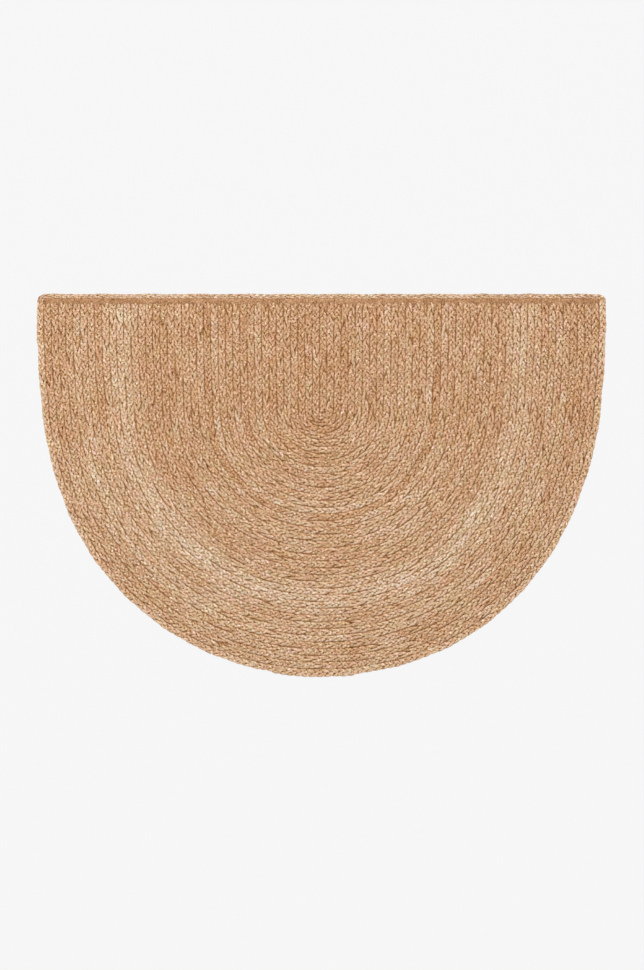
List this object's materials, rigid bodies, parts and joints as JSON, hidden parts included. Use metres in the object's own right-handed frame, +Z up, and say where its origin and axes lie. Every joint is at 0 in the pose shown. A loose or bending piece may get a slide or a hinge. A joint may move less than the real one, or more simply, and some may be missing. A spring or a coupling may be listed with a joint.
{
  "type": "half-moon plaited jute doormat",
  "caption": "Flat half-moon doormat of plaited jute rows sewn edge to edge, with a plait round its outline and a sewn band along its straight edge; lies at a door for wiping shoes.",
  "frame": {"origin": "centre of the bounding box on the underside, which lies on the floor", "axes": "+Z up out of the worn face, +X along the straight edge, +Y from the round side towards the straight edge"},
  "size_m": [0.8983, 0.606, 0.008],
  "materials": {
    "jute_plait": "natural light brown jute strands in a three-strand plait, matt with loose fibres",
    "jute_border": "natural light brown jute plait, matt, slightly paler along the straight edge",
    "jute_sewing": "ochre brown jute thread in close sewing, matt"
  },
  "bodies": {
    "root": {"plaited_field": "jute_plait", "border_plait": "jute_border", "sewn_band": "jute_sewing"}
  },
  "joints": []
}
